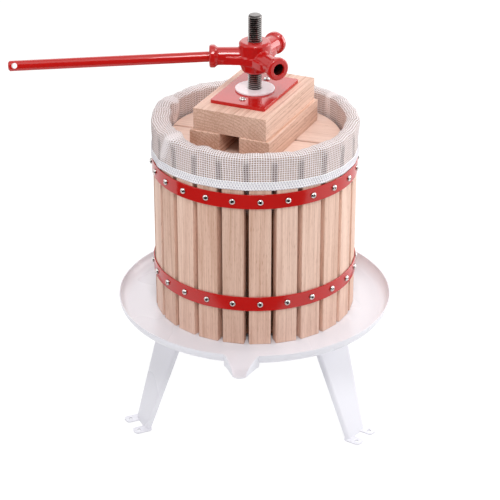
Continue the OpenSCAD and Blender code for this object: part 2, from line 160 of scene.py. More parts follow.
# Tray and legs: pressed and folded sheet steel, bolted together under the floor and stove
# enamelled white; the coat has a fine orange peel and a faint unevenness of gloss.
SHEET_EASE = 0.0005
MERGE_WITHIN = 1e-6
FLAT_WITHIN, SHARP_PAST = math.radians(0.4), math.radians(35.0)
CLOUD_SCALE, PEEL_SCALE = 8.0, 620.0
# Dark red, painted into the nut's sockets as painted shade.
SOCKET_SHADE = (0.05, 0.008, 0.007, 1.0)
WHITE_PIECES = {"tray_enamelled": "tray",
                "leg_right": "leg_1", "leg_back": "leg_2", "leg_left": "leg_3"}


def object_place(tree):
    return node(tree, "ShaderNodeTexCoord").outputs["Object"]


def stored(tree, label, output="Fac"):
    return node(tree, "ShaderNodeAttribute", attribute_name=label).outputs[output]


def noise(tree, place, scale, detail, output="Fac"):
    sockets = {"Vector": place, "Scale": scale, "Detail": detail}
    return node(tree, "ShaderNodeTexNoise", sockets).outputs[output]


def between(tree, share, low, high, first=0.0, last=1.0):
    sockets = {"Value": share, "From Min": first, "From Max": last, "To Min": low, "To Max": high}
    return node(tree, "ShaderNodeMapRange", sockets).outputs[0]


def blend_colour(tree, share, one, other):
    return node(tree, "ShaderNodeMix", {0: share, 6: one, 7: other}, data_type="RGBA").outputs[2]


def bump(tree, height, strength, distance):
    sockets = {"Height": height, "Strength": strength, "Distance": distance}
    return node(tree, "ShaderNodeBump", sockets).outputs[0]


def finish_surface(tree, sockets):
    surface = node(tree, "ShaderNodeBsdfPrincipled", sockets)
    node(tree, "ShaderNodeOutputMaterial", {"Surface": surface.outputs[0]})


def coated_steel(name, fresh, worn, roughness, peel_depth, shine):
    made, tree = bare_material(name)
    place = object_place(tree)
    cloud = noise(tree, place, CLOUD_SCALE, 1.0)
    peel = noise(tree, place, PEEL_SCALE, 1.0)
    coat = blend_colour(tree, cloud, fresh, worn)
    finish_surface(tree, {
        # Where a piece marks socket_shade, the colour turns dark red: painted shade.
        "Base Color": blend_colour(tree, stored(tree, "socket_shade"), coat, SOCKET_SHADE),
        "Roughness": between(tree, cloud, roughness - 0.04, roughness + 0.04),
        "Normal": bump(tree, peel, 0.5, peel_depth), "Specular IOR Level": shine})
    return made


def merged(mesh, within=MERGE_WITHIN):
    shape = bmesh.new()
    shape.from_mesh(mesh)
    bmesh.ops.remove_doubles(shape, verts=shape.verts, dist=within)
    return shape


def put_back(shape, mesh):
    shape.to_mesh(mesh)
    shape.free()


def eased_edges(mesh, ease, segments=2):
    shape = merged(mesh)
    bmesh.ops.dissolve_limit(shape, angle_limit=FLAT_WITHIN, verts=shape.verts, edges=shape.edges)
    sharp = [edge for edge in shape.edges if edge.is_manifold and edge.calc_face_angle() > SHARP_PAST]
    bmesh.ops.bevel(shape, geom=sharp, offset=ease, segments=segments, profile=0.5, affect="EDGES",
                    clamp_overlap=True)
    put_back(shape, mesh)


def finish_piece(piece, body, smooth=35.0):
    piece.data.validate()
    piece.data.shade_smooth()
    piece.data.set_sharp_from_angle(angle=math.radians(smooth))
    piece.modifiers.new("even_shading", "WEIGHTED_NORMAL").keep_sharp = True
    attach(piece, body)


def eased_copy(name, cad, body, coat, ease, segments=2):
    piece = linked(name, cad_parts[cad].data.copy(), coat)
    eased_edges(piece.data, ease, segments)
    finish_piece(piece, body)
    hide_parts(cad)
    return piece


white_coat = coated_steel("white_coat", (0.845, 0.835, 0.885, 1.0), (0.825, 0.815, 0.865, 1.0),
                          roughness=0.28, peel_depth=0.00002, shine=0.4)
for name, cad in WHITE_PIECES.items():
    eased_copy(name, cad, "stand", white_coat, SHEET_EASE)

# Fasteners of the stand: zinc-plated bolts, washers and nuts, left bright, that hold the legs
# under the tray and clamp the rod upright in its floor.
# Near black, painted into screw recesses as painted shade.
RECESS_SHADE_COLOUR = (0.02, 0.018, 0.018, 1.0)
STAND_FASTENERS = ["leg_bolts", "leg_washers", "leg_nuts",
                   "rod_washer", "rod_nut", "rod_plate", "rod_lock_nut"]


def plated_steel(name, colour, roughness, recess_shading=0.0):
    made, tree = bare_material(name)
    smear = noise(tree, object_place(tree), 240.0, 3.0)
    dull = tuple(0.8 * part for part in colour[:3]) + (1.0,)
    shown = blend_colour(tree, between(tree, smear, 0.0, 1.0, 0.35, 0.7), colour, dull)
    # Where a piece marks its recesses, they are painted near black as painted shade.
    recess_shade = between(tree, stored(tree, "recess"), 0.0, recess_shading)
    finish_surface(tree, {
        "Base Color": blend_colour(tree, recess_shade, shown, RECESS_SHADE_COLOUR), "Metallic": 1.0,
        "Roughness": between(tree, smear, roughness, roughness + 0.16, 0.3, 0.7),
        "Normal": bump(tree, smear, 0.25, 0.00006)})
    return made


bright_steel = plated_steel("bright_steel", (0.80, 0.80, 0.81, 1.0), 0.18)
for name in STAND_FASTENERS:
    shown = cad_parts[name].data
    shown.materials.clear()
    shown.materials.append(bright_steel)

# Threaded rod: 20 mm steel with a rolled thread of 3 mm pitch, dark with oil, its ends
# chamfered; its crests and its top end are painted lighter as a painted highlight.
ROD_PITCH, ROD_DEPTH, ROD_CHAMFER, ROD_LEAST_R = 0.003, 0.0017, 0.0022, 0.003
ROD_TURN_STEPS = 48
ROD_PROFILE = [(0.00, 0.0), (0.10, 0.0), (0.38, 1.0), (0.52, 1.0), (0.80, 0.0)]
FLANK_R, CREST_R = 0.0089, 0.0099
# The crest colour is a painted highlight.
ROD_OIL, ROD_CREST_HIGHLIGHT = (0.05, 0.043, 0.042, 1.0), (0.44, 0.41, 0.40, 1.0)


def vectors(tree, operation, one, other):
    return node(tree, "ShaderNodeVectorMath", {0: one, 1: other}, operation=operation).outputs[0]


def length_of(tree, arrow):
    return node(tree, "ShaderNodeVectorMath", {0: arrow}, operation="LENGTH").outputs["Value"]


def new_piece(name, body, slot, coat, verts, faces):
    piece = linked(name, mesh_of(name, verts, faces), coat)
    finish_piece(piece, body)
    return piece


def thread_of(low, high, outer):
    rows = len(ROD_PROFILE)
    turns = int(math.ceil((high - low) / ROD_PITCH)) + 1
    verts, faces = [], []
    for row in range(rows * turns + 1):
        part, depth = ROD_PROFILE[row % rows]
        for step in range(ROD_TURN_STEPS):
            z = low + ROD_PITCH * (row // rows + part + step / ROD_TURN_STEPS - 1.0)
            z = min(max(z, low), high)
            chamfer = outer - ROD_CHAMFER + min(z - low, high - z)
            r = max(min(outer - ROD_DEPTH * depth, chamfer), ROD_LEAST_R)
            turn = 2 * math.pi * step / ROD_TURN_STEPS
            verts.append((r * math.cos(turn), r * math.sin(turn), z))
    for row in range(rows * turns):
        for step in range(ROD_TURN_STEPS):
            side, lift = (step + 1) % ROD_TURN_STEPS, rows if step + 1 == ROD_TURN_STEPS else 0
            if row + 1 + lift > rows * turns:
                continue
            faces.append((row * ROD_TURN_STEPS + step, (row + lift) * ROD_TURN_STEPS + side,
                          (row + 1 + lift) * ROD_TURN_STEPS + side, (row + 1) * ROD_TURN_STEPS + step))
    return verts, faces


def close_ends(piece):
    shape = merged(piece.data, 2e-6)
    bmesh.ops.dissolve_degenerate(shape, dist=1e-6, edges=shape.edges)
    bmesh.ops.holes_fill(shape, edges=[edge for edge in shape.edges if edge.is_boundary], sides=0)
    bmesh.ops.recalc_face_normals(shape, faces=shape.faces)
    put_back(shape, piece.data)


low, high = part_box("screw_rod")
thread_steel, tree = bare_material("thread_steel")
place = object_place(tree)
reach = length_of(tree, vectors(tree, "MULTIPLY", place, (1.0, 1.0, 0.0)))
height = node(tree, "ShaderNodeSeparateXYZ", {0: place}).outputs["Z"]
# Crests and the top end face are painted lighter: painted highlight.
crest = between(tree, reach, 0.0, 1.0, FLANK_R, CREST_R)
end_face = between(tree, height, 0.0, 0.25, high.z - 0.003, high.z - 0.0012)
oil = noise(tree, place, 160.0, 3.0)
finish_surface(tree, {
    "Base Color": blend_colour(tree, maths(tree, "MAXIMUM", crest, end_face), ROD_OIL, ROD_CREST_HIGHLIGHT),
    "Metallic": 1.0, "Roughness": between(tree, oil, 0.22, 0.40, 0.3, 0.7),
    "Normal": bump(tree, oil, 0.2, 0.0001)})
rod = new_piece("rod_thread", "stand", "thread_steel", thread_steel, *thread_of(low.z, high.z, high.x))
close_ends(rod)
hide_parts("screw_rod")

# Slats: 24 planed beech strips with eased edges, each cut from other wood, that stand on the
# tray in a ring with a narrow gap between them.
SLAT_COUNT = 24
SLAT_STEP = 2 * math.pi / SLAT_COUNT
SLAT_TURN = math.radians(8.3 - 90.0)
BASKET_R = 0.148
SLAT_T, SLAT_W, SLAT_EASE = 0.016, 0.03147, 0.0012
SLAT_PITH = (0.035, 0.12)
END_GRAIN_FACING = 0.7
# Pale beech, toward which high tones blend.
PALE_BEECH = (0.86, 0.70, 0.62, 1.0)


def scaled(tree, arrow, share):
    return node(tree, "ShaderNodeVectorMath", {0: arrow, "Scale": share}, operation="SCALE").outputs[0]


def beech(name, pale, deep, ring_step, ring_depth):
    made, tree = bare_material(name)
    grain = stored(tree, "grain", "Vector")
    tone = stored(tree, "tone")
    moved = vectors(tree, "ADD", grain, scaled(tree, (4.3, 2.9, 3.7), tone))

    def stretched(along, across, over):
        return vectors(tree, "MULTIPLY", moved, (along, across, over))

    fibre = noise(tree, stretched(9.0, 520.0, 520.0), 1.0, 4.0)
    fleck = noise(tree, stretched(95.0, 1500.0, 700.0), 1.0, 1.0)
    broad = noise(tree, stretched(2.0, 34.0, 34.0), 1.0, 2.0)
    drift = noise(tree, stretched(2.2, 22.0, 22.0), 1.0, 2.0, "Color")
    wander = vectors(tree, "MULTIPLY", drift, (0.0, 0.014, 0.014))
    bent = vectors(tree, "MULTIPLY", vectors(tree, "ADD", grain, wander), (0.0, 1.0, 1.0))
    year = maths(tree, "MULTIPLY", length_of(tree, bent), 2 * math.pi / ring_step)
    ring = between(tree, maths(tree, "SINE", year), 0.0, 1.0, 0.3, 1.0)
    dark = between(tree, fibre, 0.0, 0.55, 0.38, 0.70)
    for layer in (between(tree, ring, 0.0, ring_depth), between(tree, fleck, 0.0, 0.5, 0.58, 0.72),
                  between(tree, broad, -0.16, 0.22, 0.3, 0.7)):
        dark = maths(tree, "ADD", dark, layer)
    dark = maths(tree, "MULTIPLY_ADD", stored(tree, "cut_across"), 0.35, dark)
    colour = blend_colour(tree, dark, pale, deep)
    # High tones blend toward a pale beech; on the slats this makes the right side paler, partly painted
    # light.
    colour = blend_colour(tree, between(tree, tone, 0.0, 0.3, 0.45, 1.0), colour, PALE_BEECH)
    finish_surface(tree, {
        "Base Color": scaled(tree, colour, between(tree, tone, 0.80, 1.10)),
        "Roughness": between(tree, dark, 0.5, 0.68),
        "Normal": bump(tree, dark, 0.2, 0.0002), "Specular IOR Level": 0.35})
    return made


def store(mesh, label, values, kind="FLOAT", domain="POINT"):
    field = "vector" if kind == "FLOAT_VECTOR" else "value"
    layer = mesh.attributes.new(label, kind, domain)
    layer.data.foreach_set(field, np.asarray(values, np.float32).ravel())


def remember_grain(mesh, pith, turn=0.0, tone=None, upright=False):
    along, aside = math.cos(turn), math.sin(turn)
    spin = np.array([[along, aside, 0], [-aside, along, 0], [0, 0, 1]])
    places = np.array([vert.co for vert in mesh.vertices]) @ spin.T
    facing = np.array([face.normal for face in mesh.polygons]) @ spin.T
    if upright:
        places = places[:, [2, 1, 0]]
        facing = facing[:, [2, 1, 0]]
    store(mesh, "cut_across", np.abs(facing[:, 0]) > END_GRAIN_FACING, domain="FACE")
    store(mesh, "grain", places - np.array((0.0, *pith)), kind="FLOAT_VECTOR")
    if tone is not None:
        store(mesh, "tone", [tone] * len(mesh.vertices))


def new_tree(name, result, **inputs):
    tree = bpy.data.node_groups.new(name, "GeometryNodeTree")
    tree.interface.new_socket(result, in_out="OUTPUT", socket_type="NodeSocketGeometry")
    for label, kind in inputs.items():
        tree.interface.new_socket(label, in_out="INPUT", socket_type="NodeSocket" + kind)
    return tree, node(tree, "NodeGroupInput").outputs


def end_tree(tree, result, placed, coat):
    real = node(tree, "GeometryNodeRealizeInstances", {"Geometry": placed}).outputs[0]
    coated = node(tree, "GeometryNodeSetMaterial", {"Geometry": real, "Material": coat}).outputs[0]
    node(tree, "NodeGroupOutput", {result: coated})


def ring_tree():
    tree, given = new_tree("ring_of_pieces", "Pieces", Pattern="Object", Coat="Material", Count="Int",
                           Radius="Float", Height="Float", Turn="Float", Spin="Float", Seed="Int")
    place = node(tree, "GeometryNodeInputIndex").outputs[0]
    step = maths(tree, "DIVIDE", 2 * math.pi, given["Count"])
    turned = maths(tree, "MULTIPLY_ADD", place, step, given["Turn"])
    away = node(tree, "ShaderNodeCombineXYZ", {"X": given["Radius"], "Z": given["Height"]}).outputs[0]
    spot = node(tree, "ShaderNodeVectorRotate", {"Vector": away, "Angle": turned}, rotation_type="Z_AXIS")
    points = node(tree, "GeometryNodePoints", {"Count": given["Count"], "Position": spot.outputs[0]})
    spun = node(tree, "FunctionNodeRandomValue", {2: 0.0, 3: given["Spin"], "Seed": given["Seed"]},
                data_type="FLOAT")
    facing = node(tree, "ShaderNodeCombineXYZ", {"X": spun.outputs[1], "Z": turned}).outputs[0]
    shape = node(tree, "GeometryNodeObjectInfo", {"Object": given["Pattern"]}).outputs["Geometry"]
    placed = node(tree, "GeometryNodeInstanceOnPoints", {
        "Points": points.outputs[0], "Instance": shape, "Rotation": facing}).outputs[0]
    tone = node(tree, "FunctionNodeRandomValue", {"Seed": given["Seed"]}, data_type="FLOAT").outputs[1]
    marked = node(tree, "GeometryNodeStoreNamedAttribute", {
        "Geometry": placed, "Name": "tone", "Value": tone}, data_type="FLOAT", domain="INSTANCE").outputs[0]
    end_tree(tree, "Pieces", marked, given["Coat"])
    return tree


RING = ring_tree()


def plain_mesh(maker, all_layers=False):
    bpy.context.view_layer.update()
    graph = bpy.context.evaluated_depsgraph_get()
    return bpy.data.meshes.new_from_object(maker.evaluated_get(graph), preserve_all_data_layers=all_layers,
                                           depsgraph=graph)


def made_by_nodes(name, tree, start, **inputs):
    maker = bpy.data.objects.new(name + "_maker", start)
    scene.collection.objects.link(maker)
    modifier = maker.modifiers.new("maker", "NODES")
    modifier.node_group = tree
    for socket in tree.interface.items_tree:
        if socket.in_out == "INPUT" and socket.name in inputs:
            modifier[socket.identifier] = inputs[socket.name]
    piece = bpy.data.objects.new(name, plain_mesh(maker, all_layers=True))
    bpy.data.objects.remove(maker)
    scene.collection.objects.link(piece)
    return piece


def ring_of(name, pattern, body, slot, coat, **inputs):
    start = bpy.data.meshes.new(name + "_start")
    piece = made_by_nodes(name, RING, start, Pattern=pattern, Coat=coat, **inputs)
    finish_piece(piece, body)
    return piece


slat_beech = beech("slat_beech", (0.91, 0.63, 0.50, 1.0), (0.56, 0.30, 0.20, 1.0),
                   ring_step=0.0052, ring_depth=0.20)
low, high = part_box("slat_1")
corners = [(x, y, z) for x in (-SLAT_T, 0.0) for y in (-SLAT_W / 2, SLAT_W / 2)
           for z in (low.z, high.z)]
sides = [(0, 1, 3, 2), (4, 6, 7, 5), (0, 4, 5, 1), (2, 3, 7, 6), (0, 2, 6, 4), (1, 5, 7, 3)]
slat_mesh = mesh_of("slat_pattern", corners, sides)
eased_edges(slat_mesh, SLAT_EASE)
remember_grain(slat_mesh, SLAT_PITH, upright=True)
slat_pattern = bpy.data.objects.new("slat_pattern", slat_mesh)
# The seed is picked so that the slats on the right come out paler and those at the left darker: partly the
# wood's own tone, partly painted light from the right.
slats = ring_of("basket_slats", slat_pattern, "basket", "slat_beech", slat_beech, Count=SLAT_COUNT,
                Radius=BASKET_R, Height=0.0, Turn=SLAT_TURN, Spin=0.0, Seed=2868)
bpy.data.objects.remove(slat_pattern)
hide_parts(*[f"slat_{number}" for number in range(1, SLAT_COUNT + 1)])

# Hoops: two bands of flat steel rolled to a ring, gloss red, screwed to every slat; the
# edges are rounded by the rolling and by the coat.
HOOP_OUTER_R, HOOP_INNER_R = BASKET_R + 0.00247, BASKET_R + 0.00098
HOOP_EDGE_R = (HOOP_OUTER_R - HOOP_INNER_R) * 0.45
HOOP_STEPS, HOOP_EDGE_STEPS = 192, 4
red_coat = coated_steel("red_coat", (0.56, 0.010, 0.008, 1.0), (0.52, 0.008, 0.006, 1.0),
                        roughness=0.11, peel_depth=0.00001, shine=0.5)


def hoop_of(name, cad):
    low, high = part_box(cad)
    outer, inner = HOOP_OUTER_R - HOOP_EDGE_R, HOOP_INNER_R + HOOP_EDGE_R
    under, over = low.z + HOOP_EDGE_R, high.z - HOOP_EDGE_R
    path = []
    for r, z, start in ((outer, under, -90), (outer, over, 0), (inner, over, 90), (inner, under, 180)):
        for step in range(HOOP_EDGE_STEPS):
            turn = math.radians(start + 90 / (HOOP_EDGE_STEPS - 1) * step)
            path.append((r + HOOP_EDGE_R * math.cos(turn), z + HOOP_EDGE_R * math.sin(turn)))
    verts, faces = [], []
    for step in range(HOOP_STEPS):
        turn = 2 * math.pi * step / HOOP_STEPS
        verts += [(r * math.cos(turn), r * math.sin(turn), z) for r, z in path]
        here, there = step * len(path), (step + 1) % HOOP_STEPS * len(path)
        for spot in range(len(path)):
            after = (spot + 1) % len(path)
            faces.append((here + spot, there + spot, there + after, here + after))
    piece = new_piece(name, "basket", "red_coat", red_coat, verts, faces)
    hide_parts(cad)


hoop_of("hoop_lower", "lower_hoop")
hoop_of("hoop_upper", "upper_hoop")

# Hoop screws: bright pan-headed wood screws with a cross recess, one through each hoop into
# each slat, driven home at whatever turn they stopped. Their cross recess is painted near black
# and a dark ring is painted round the brim: painted shade.
SPOKES = 40
HEAD_RINGS = [0.0, 0.12, 0.22, 0.30, 0.38, 0.46, 0.54, 0.64, 0.76, 0.88, 0.96, 1.0]
HEAD_BRIM, HEAD_ROUND = 0.30, 2.4
CROSS_WAIST, CROSS_ARM, CROSS_SLOPE = 0.27, 0.20, 0.07
BRIM_FROM, BRIM_SHADE = 0.97, 0.75


def pan_head(head_d, head_h, shank_d, shank_l, recess):
    turns = [2 * math.pi * spoke / SPOKES for spoke in range(SPOKES)]
    verts, faces, shade_share = [], [], []
    for share in HEAD_RINGS:
        reach = share * head_d / 2
        dome = head_h * (HEAD_BRIM + (1.0 - HEAD_BRIM) * math.sqrt(max(1.0 - share ** HEAD_ROUND, 0.0)))
        for turn in turns:
            arm = CROSS_WAIST + CROSS_ARM * abs(math.cos(2 * turn)) ** 2
            cut = min(max((arm - share) / CROSS_SLOPE + 0.5, 0.0), 1.0)
            # The cross recess and a ring at the brim are marked for painted shade.
            shade_share.append(max(cut, BRIM_SHADE * (share > BRIM_FROM)))
            verts.append((dome - recess * cut, reach * math.cos(turn), reach * math.sin(turn)))
    for depth, reach in ((0.0, head_d / 2), (0.0, shank_d / 2), (-shank_l, shank_d / 2), (-shank_l, 0.0)):
        verts += [(depth, reach * math.cos(turn), reach * math.sin(turn)) for turn in turns]
        shade_share += [0.0] * SPOKES
    for near in range(0, len(verts) - SPOKES, SPOKES):
        for spoke in range(SPOKES):
            far, beside = near + SPOKES, (spoke + 1) % SPOKES
            faces.append((near + spoke, far + spoke, far + beside, near + beside))
    mesh = mesh_of("screw_pattern", verts, faces)
    store(mesh, "recess", shade_share)
    shape = merged(mesh, 1e-7)
    bmesh.ops.recalc_face_normals(shape, faces=shape.faces)
    put_back(shape, mesh)
    return bpy.data.objects.new("screw_pattern", mesh)


screw_steel = plated_steel("screw_steel", (0.80, 0.77, 0.75, 1.0), 0.20, recess_shading=1.0)
hoop_screw = pan_head(head_d=0.0086, head_h=0.0032, shank_d=0.004, shank_l=0.0125, recess=0.0022)
for name, cad, seed in (("hoop_screws_low", "lower_hoop_screws", 3),
                        ("hoop_screws_high", "upper_hoop_screws", 8)):
    low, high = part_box(cad)
    screws = ring_of(name, hoop_screw, "basket", "bright_steel", screw_steel, Count=SLAT_COUNT,
                     Radius=HOOP_OUTER_R, Height=(low.z + high.z) / 2, Turn=SLAT_TURN, Spin=1.57, Seed=seed)
    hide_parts(cad)
bpy.data.objects.remove(hoop_screw)

# Filter bag: open white gauze sewn to a round bag that lines the slats, is turned over their
# tops and hangs some 45 mm down outside; slack, with a pleat in front, a tuck and the side
# seam behind. Painted shade darkens it where it bridges the slats' gaps, and a painted brown
# shade colours the liner under the boards, inside the basket.
BAG_STEPS = 480
BAG_TURNS = np.linspace(-math.pi, math.pi, BAG_STEPS, endpoint=False)
LINER_R, SKIRT_R = 0.1311, 0.1497
SKIRT_ROUND = 2 * math.pi * SKIRT_R
BAG_HOLE_R, BAG_FLOOR_R, BAG_BEND_R = 0.0262, 0.122, 0.009
BAG_FLOOR_Z, WALL_LOW_Z, WALL_MID_Z = 0.1809, 0.2, 0.4
SKIRT_LOW_Z, RIM_Z, RIM_CROWN = 0.4255, 0.46845, 0.0048
NARROW_BY, NARROW_FROM_Z, NARROW_TO_Z = 0.009, 0.340, 0.310
# Heights over which the liner's painted brown shade fades in.
INSIDE_SHADE_FROM_Z, INSIDE_SHADE_TO_Z = 0.392, 0.376
MARK_FROM_Z, MARK_TO_Z = 0.43, 0.445
GAP_EDGE, GAP_CORE, GAP_FADE = 0.034, 0.020, 0.012
OVER_FROM_Z, PULL_FROM_Z, PULL_TO_Z = 0.438, 0.4435, 0.460
PLEAT_TOP, PLEAT_SLANT, PLEAT_WIDTH = -138.0, 280.0, 3.2
PLEAT_DEPTH, PLEAT_RIM_DEPTH = 0.0012, 0.0030
TUCK_TURN, TUCK_WIDTH, TUCK_FROM_Z, TUCK_TO_Z = 161.0, 4.0, 0.41, 0.44
TUCK_DEPTH, TUCK_RIM_DEPTH = 0.0040, 0.0050
SEAM_TURN, SEAM_WIDTH, SEAM_DEPTH = 39.5, 2.4, 0.0020
PLEAT_MARK, TUCK_MARK, SEAM_MARK, RIM_MARK = (1.3, 2.8), (1.2, 3.6), (1.3, 2.3), 0.2
SLACK_MIDDLE, SLACK_HALF, SLACK_EASE, SLACK_DEPTH = 197.0, 32.0, 12.0, 0.0088
CLOTH_CLEAR, CLOTH_LOOSE = 0.0010, 0.0009
FACET_HALF, FACET_END, FACET_DIP = 0.106, 0.131, 0.0012
# Painted shade colours: brown inside the basket, dark over the slats' gaps.
INSIDE_SHADE_BROWN, GAP_SHADE = (0.24, 0.10, 0.055, 1.0), (0.13, 0.085, 0.075, 1.0)
RIM_RISE = [(-165, 1.0), (-150, 1.5), (-143, 3.5), (-138, 6.0), (-132, 3.0), (-123, -1.0),
            (-115, 2.6), (-108, 0.2), (-96, -1.6), (-88, -0.2), (-73, -0.2), (-66, -1.4),
            (-58, -2.6), (-50, -0.6), (-41, 0.4), (-34, -1.4), (-27, -2.6), (-13, -1.2),
            (0, 1.4), (20, 0.0), (38, 2.2), (52, 0.2), (68, 1.8), (84, -0.6),
            (100, 1.4), (118, -0.4), (134, 1.6), (150, -0.4), (162, 3.0), (174, 1.4)]
HEM_LIFT = [(-165, -2.4), (-150, -1.2), (-130, 1.2), (-110, 2.4), (-95, 2.6), (-80, 2.5), (-60, 0.8),
            (-45, -1.2), (-20, -2.8), (0, -3.2), (45, -1.5), (90, 0.0), (140, -1.0), (180, -2.8)]


def round_the_rim(table, turn):
    angles = [entry[0] for entry in table]
    values = [entry[1] * 0.001 for entry in table]
    spread = [np.degrees(turn) + shift for shift in np.linspace(-1.6, 1.6, 9)]
    return np.mean([np.interp(place, angles, values, period=360.0) for place in spread], axis=0)


def ridge(turn, middle, width):
    away = (np.degrees(turn) - middle + 180.0) % 360.0 - 180.0
    return np.exp(-(away / width) ** 2)


def ripple(turn, *waves):
    return sum(size * np.sin(count * turn + phase) for size, count, phase in waves)


def soft_step(value, first, last):
    share = np.clip((value - first) / (last - first), 0.0, 1.0)
    return share * share * (3 - 2 * share)


def slat_facet(turn):
    away = (turn - SLAT_TURN + SLAT_STEP / 2) % SLAT_STEP - SLAT_STEP / 2
    flat = 1.0 / np.cos(np.clip(away, -FACET_HALF, FACET_HALF))
    return flat - FACET_DIP * soft_step(np.abs(away), FACET_HALF, FACET_END)


def pleat_at(z):
    return PLEAT_TOP - PLEAT_SLANT * (RIM_Z - z)


def cloth_path():
    half = (SKIRT_R - LINER_R) / 2
    path = [(r, BAG_FLOOR_Z) for r in np.linspace(BAG_HOLE_R, BAG_FLOOR_R, 9)]
    for bend in np.linspace(0.3, math.pi / 2, 5):
        path.append((LINER_R - BAG_BEND_R + BAG_BEND_R * math.sin(bend),
                     BAG_FLOOR_Z + BAG_BEND_R - BAG_BEND_R * math.cos(bend)))
    path += [(LINER_R, z) for z in np.linspace(WALL_LOW_Z, WALL_MID_Z, 9)[1:]]
    path += [(LINER_R, z) for z in np.linspace(WALL_MID_Z, RIM_Z, 15)[1:]]
    for fold in np.linspace(0, math.pi, 17)[1:]:
        path.append((LINER_R + half - half * math.cos(fold), RIM_Z + RIM_CROWN * math.sin(fold)))
    return path + [(SKIRT_R, z) for z in np.linspace(RIM_Z, SKIRT_LOW_Z, 17)[1:]]


def cloth_at(turn, r, z):
    over = soft_step(z, OVER_FROM_Z, RIM_Z + 0.002)
    pulled = soft_step(z, PULL_FROM_Z, PULL_TO_Z)
    outside = soft_step(r, LINER_R + 0.003, SKIRT_R - 0.003)
    rise = round_the_rim(RIM_RISE, turn) + ripple(turn, (0.0004, 37, 0.4), (0.0003, 61, 2.0))
    puff = ripple(turn, (0.0007, 7, 0.3), (0.0006, 11, 1.9), (0.0005, 23, 0.8))
    sway = ripple(turn, (0.0002, 13, 0.5), (0.0002, 29, 1.1))
    pleat = ridge(turn, pleat_at(z), PLEAT_WIDTH) * (PLEAT_DEPTH + PLEAT_RIM_DEPTH * over)
    tuck = ridge(turn, TUCK_TURN, TUCK_WIDTH)
    seam = ridge(turn, SEAM_TURN, SEAM_WIDTH)
    off_middle = np.abs((np.degrees(turn) % 360.0) - SLACK_MIDDLE)
    slack = soft_step(-off_middle, -SLACK_HALF, -SLACK_HALF + SLACK_EASE)
    out_r = (BASKET_R + CLOTH_CLEAR) * slat_facet(turn) + over * (CLOTH_LOOSE + puff) + pleat
    narrow = NARROW_BY * soft_step(-z, -NARROW_FROM_Z, -NARROW_TO_Z)
    in_r = LINER_R - narrow + sway + over * (0.5 * puff - 0.0003)
    in_r = in_r - (seam * SEAM_DEPTH + slack * SLACK_DEPTH) * pulled
    in_r = in_r - tuck * (TUCK_DEPTH * soft_step(z, TUCK_FROM_Z, TUCK_TO_Z) + TUCK_RIM_DEPTH * pulled)
    share = (r - LINER_R) / (SKIRT_R - LINER_R)
    wall = in_r + (out_r - in_r) * share
    radius = r + (wall - r) * soft_step(z, BAG_FLOOR_Z + 0.004, BAG_FLOOR_Z + 0.02)
    lift = rise * over + outside * (1.0 - over) * round_the_rim(HEM_LIFT, turn)
    return radius, z + lift


def ring_points(radius, height):
    return np.stack([radius * np.cos(BAG_TURNS), radius * np.sin(BAG_TURNS), height], axis=1)


def bag_mesh():
    path = cloth_path()
    off_gap = np.abs((BAG_TURNS - SLAT_TURN) % SLAT_STEP - SLAT_STEP / 2)
    over_gap = soft_step(off_gap, GAP_EDGE, GAP_CORE)
    verts, marks, shades, inside_shades = [], [], [], []
    for r, z in path:
        verts.append(ring_points(*cloth_at(BAG_TURNS, r, z)))
        places = ((pleat_at(z), PLEAT_MARK), (TUCK_TURN, TUCK_MARK), (SEAM_TURN, SEAM_MARK))
        folds = sum(share * ridge(BAG_TURNS, middle, width) for middle, (share, width) in places)
        folds = folds + RIM_MARK * (z > RIM_Z + 0.0026)
        marks.append(np.clip(soft_step(z, MARK_FROM_Z, MARK_TO_Z) * folds, 0.0, 1.0))
        # shade: painted shade on the skirt where it bridges a gap between slats, from just under the rim
        # down
        shades.append(over_gap * (r > SKIRT_R - 0.001) * soft_step(-z, -RIM_Z, -RIM_Z + GAP_FADE))
        # Under the boards the liner is painted brown: painted shade inside the basket.
        inside_shade_share = (r < LINER_R + 0.001) * soft_step(-z, -INSIDE_SHADE_FROM_Z, -INSIDE_SHADE_TO_Z)
        inside_shades.append(np.full(BAG_STEPS, inside_shade_share))
    spans = np.linalg.norm(np.diff(verts, axis=0), axis=2)
    lengths = np.concatenate([np.cumsum(spans[::-1], axis=0)[::-1], np.zeros((1, BAG_STEPS))])
    faces, corners = [], []
    for row in range(len(path) - 1):
        here, after = row * BAG_STEPS, (row + 1) * BAG_STEPS
        for step in range(BAG_STEPS):
            beside = (step + 1) % BAG_STEPS
            faces.append((here + step, after + step, after + beside, here + beside))
            left, right = step / BAG_STEPS * SKIRT_ROUND, (step + 1) / BAG_STEPS * SKIRT_ROUND
            corners += [(left, lengths[row, step]), (left, lengths[row + 1, step]),
                        (right, lengths[row + 1, beside]), (right, lengths[row, beside])]
    mesh = mesh_of("gauze_bag", np.concatenate(verts), faces)
    mesh.uv_layers.new(name="cloth").data.foreach_set("uv", np.array(corners, np.float32).ravel())
    for label, values in (("doubled", marks), ("shade", shades), ("inside_shade", inside_shades)):
        store(mesh, label, np.concatenate(values))
    return mesh


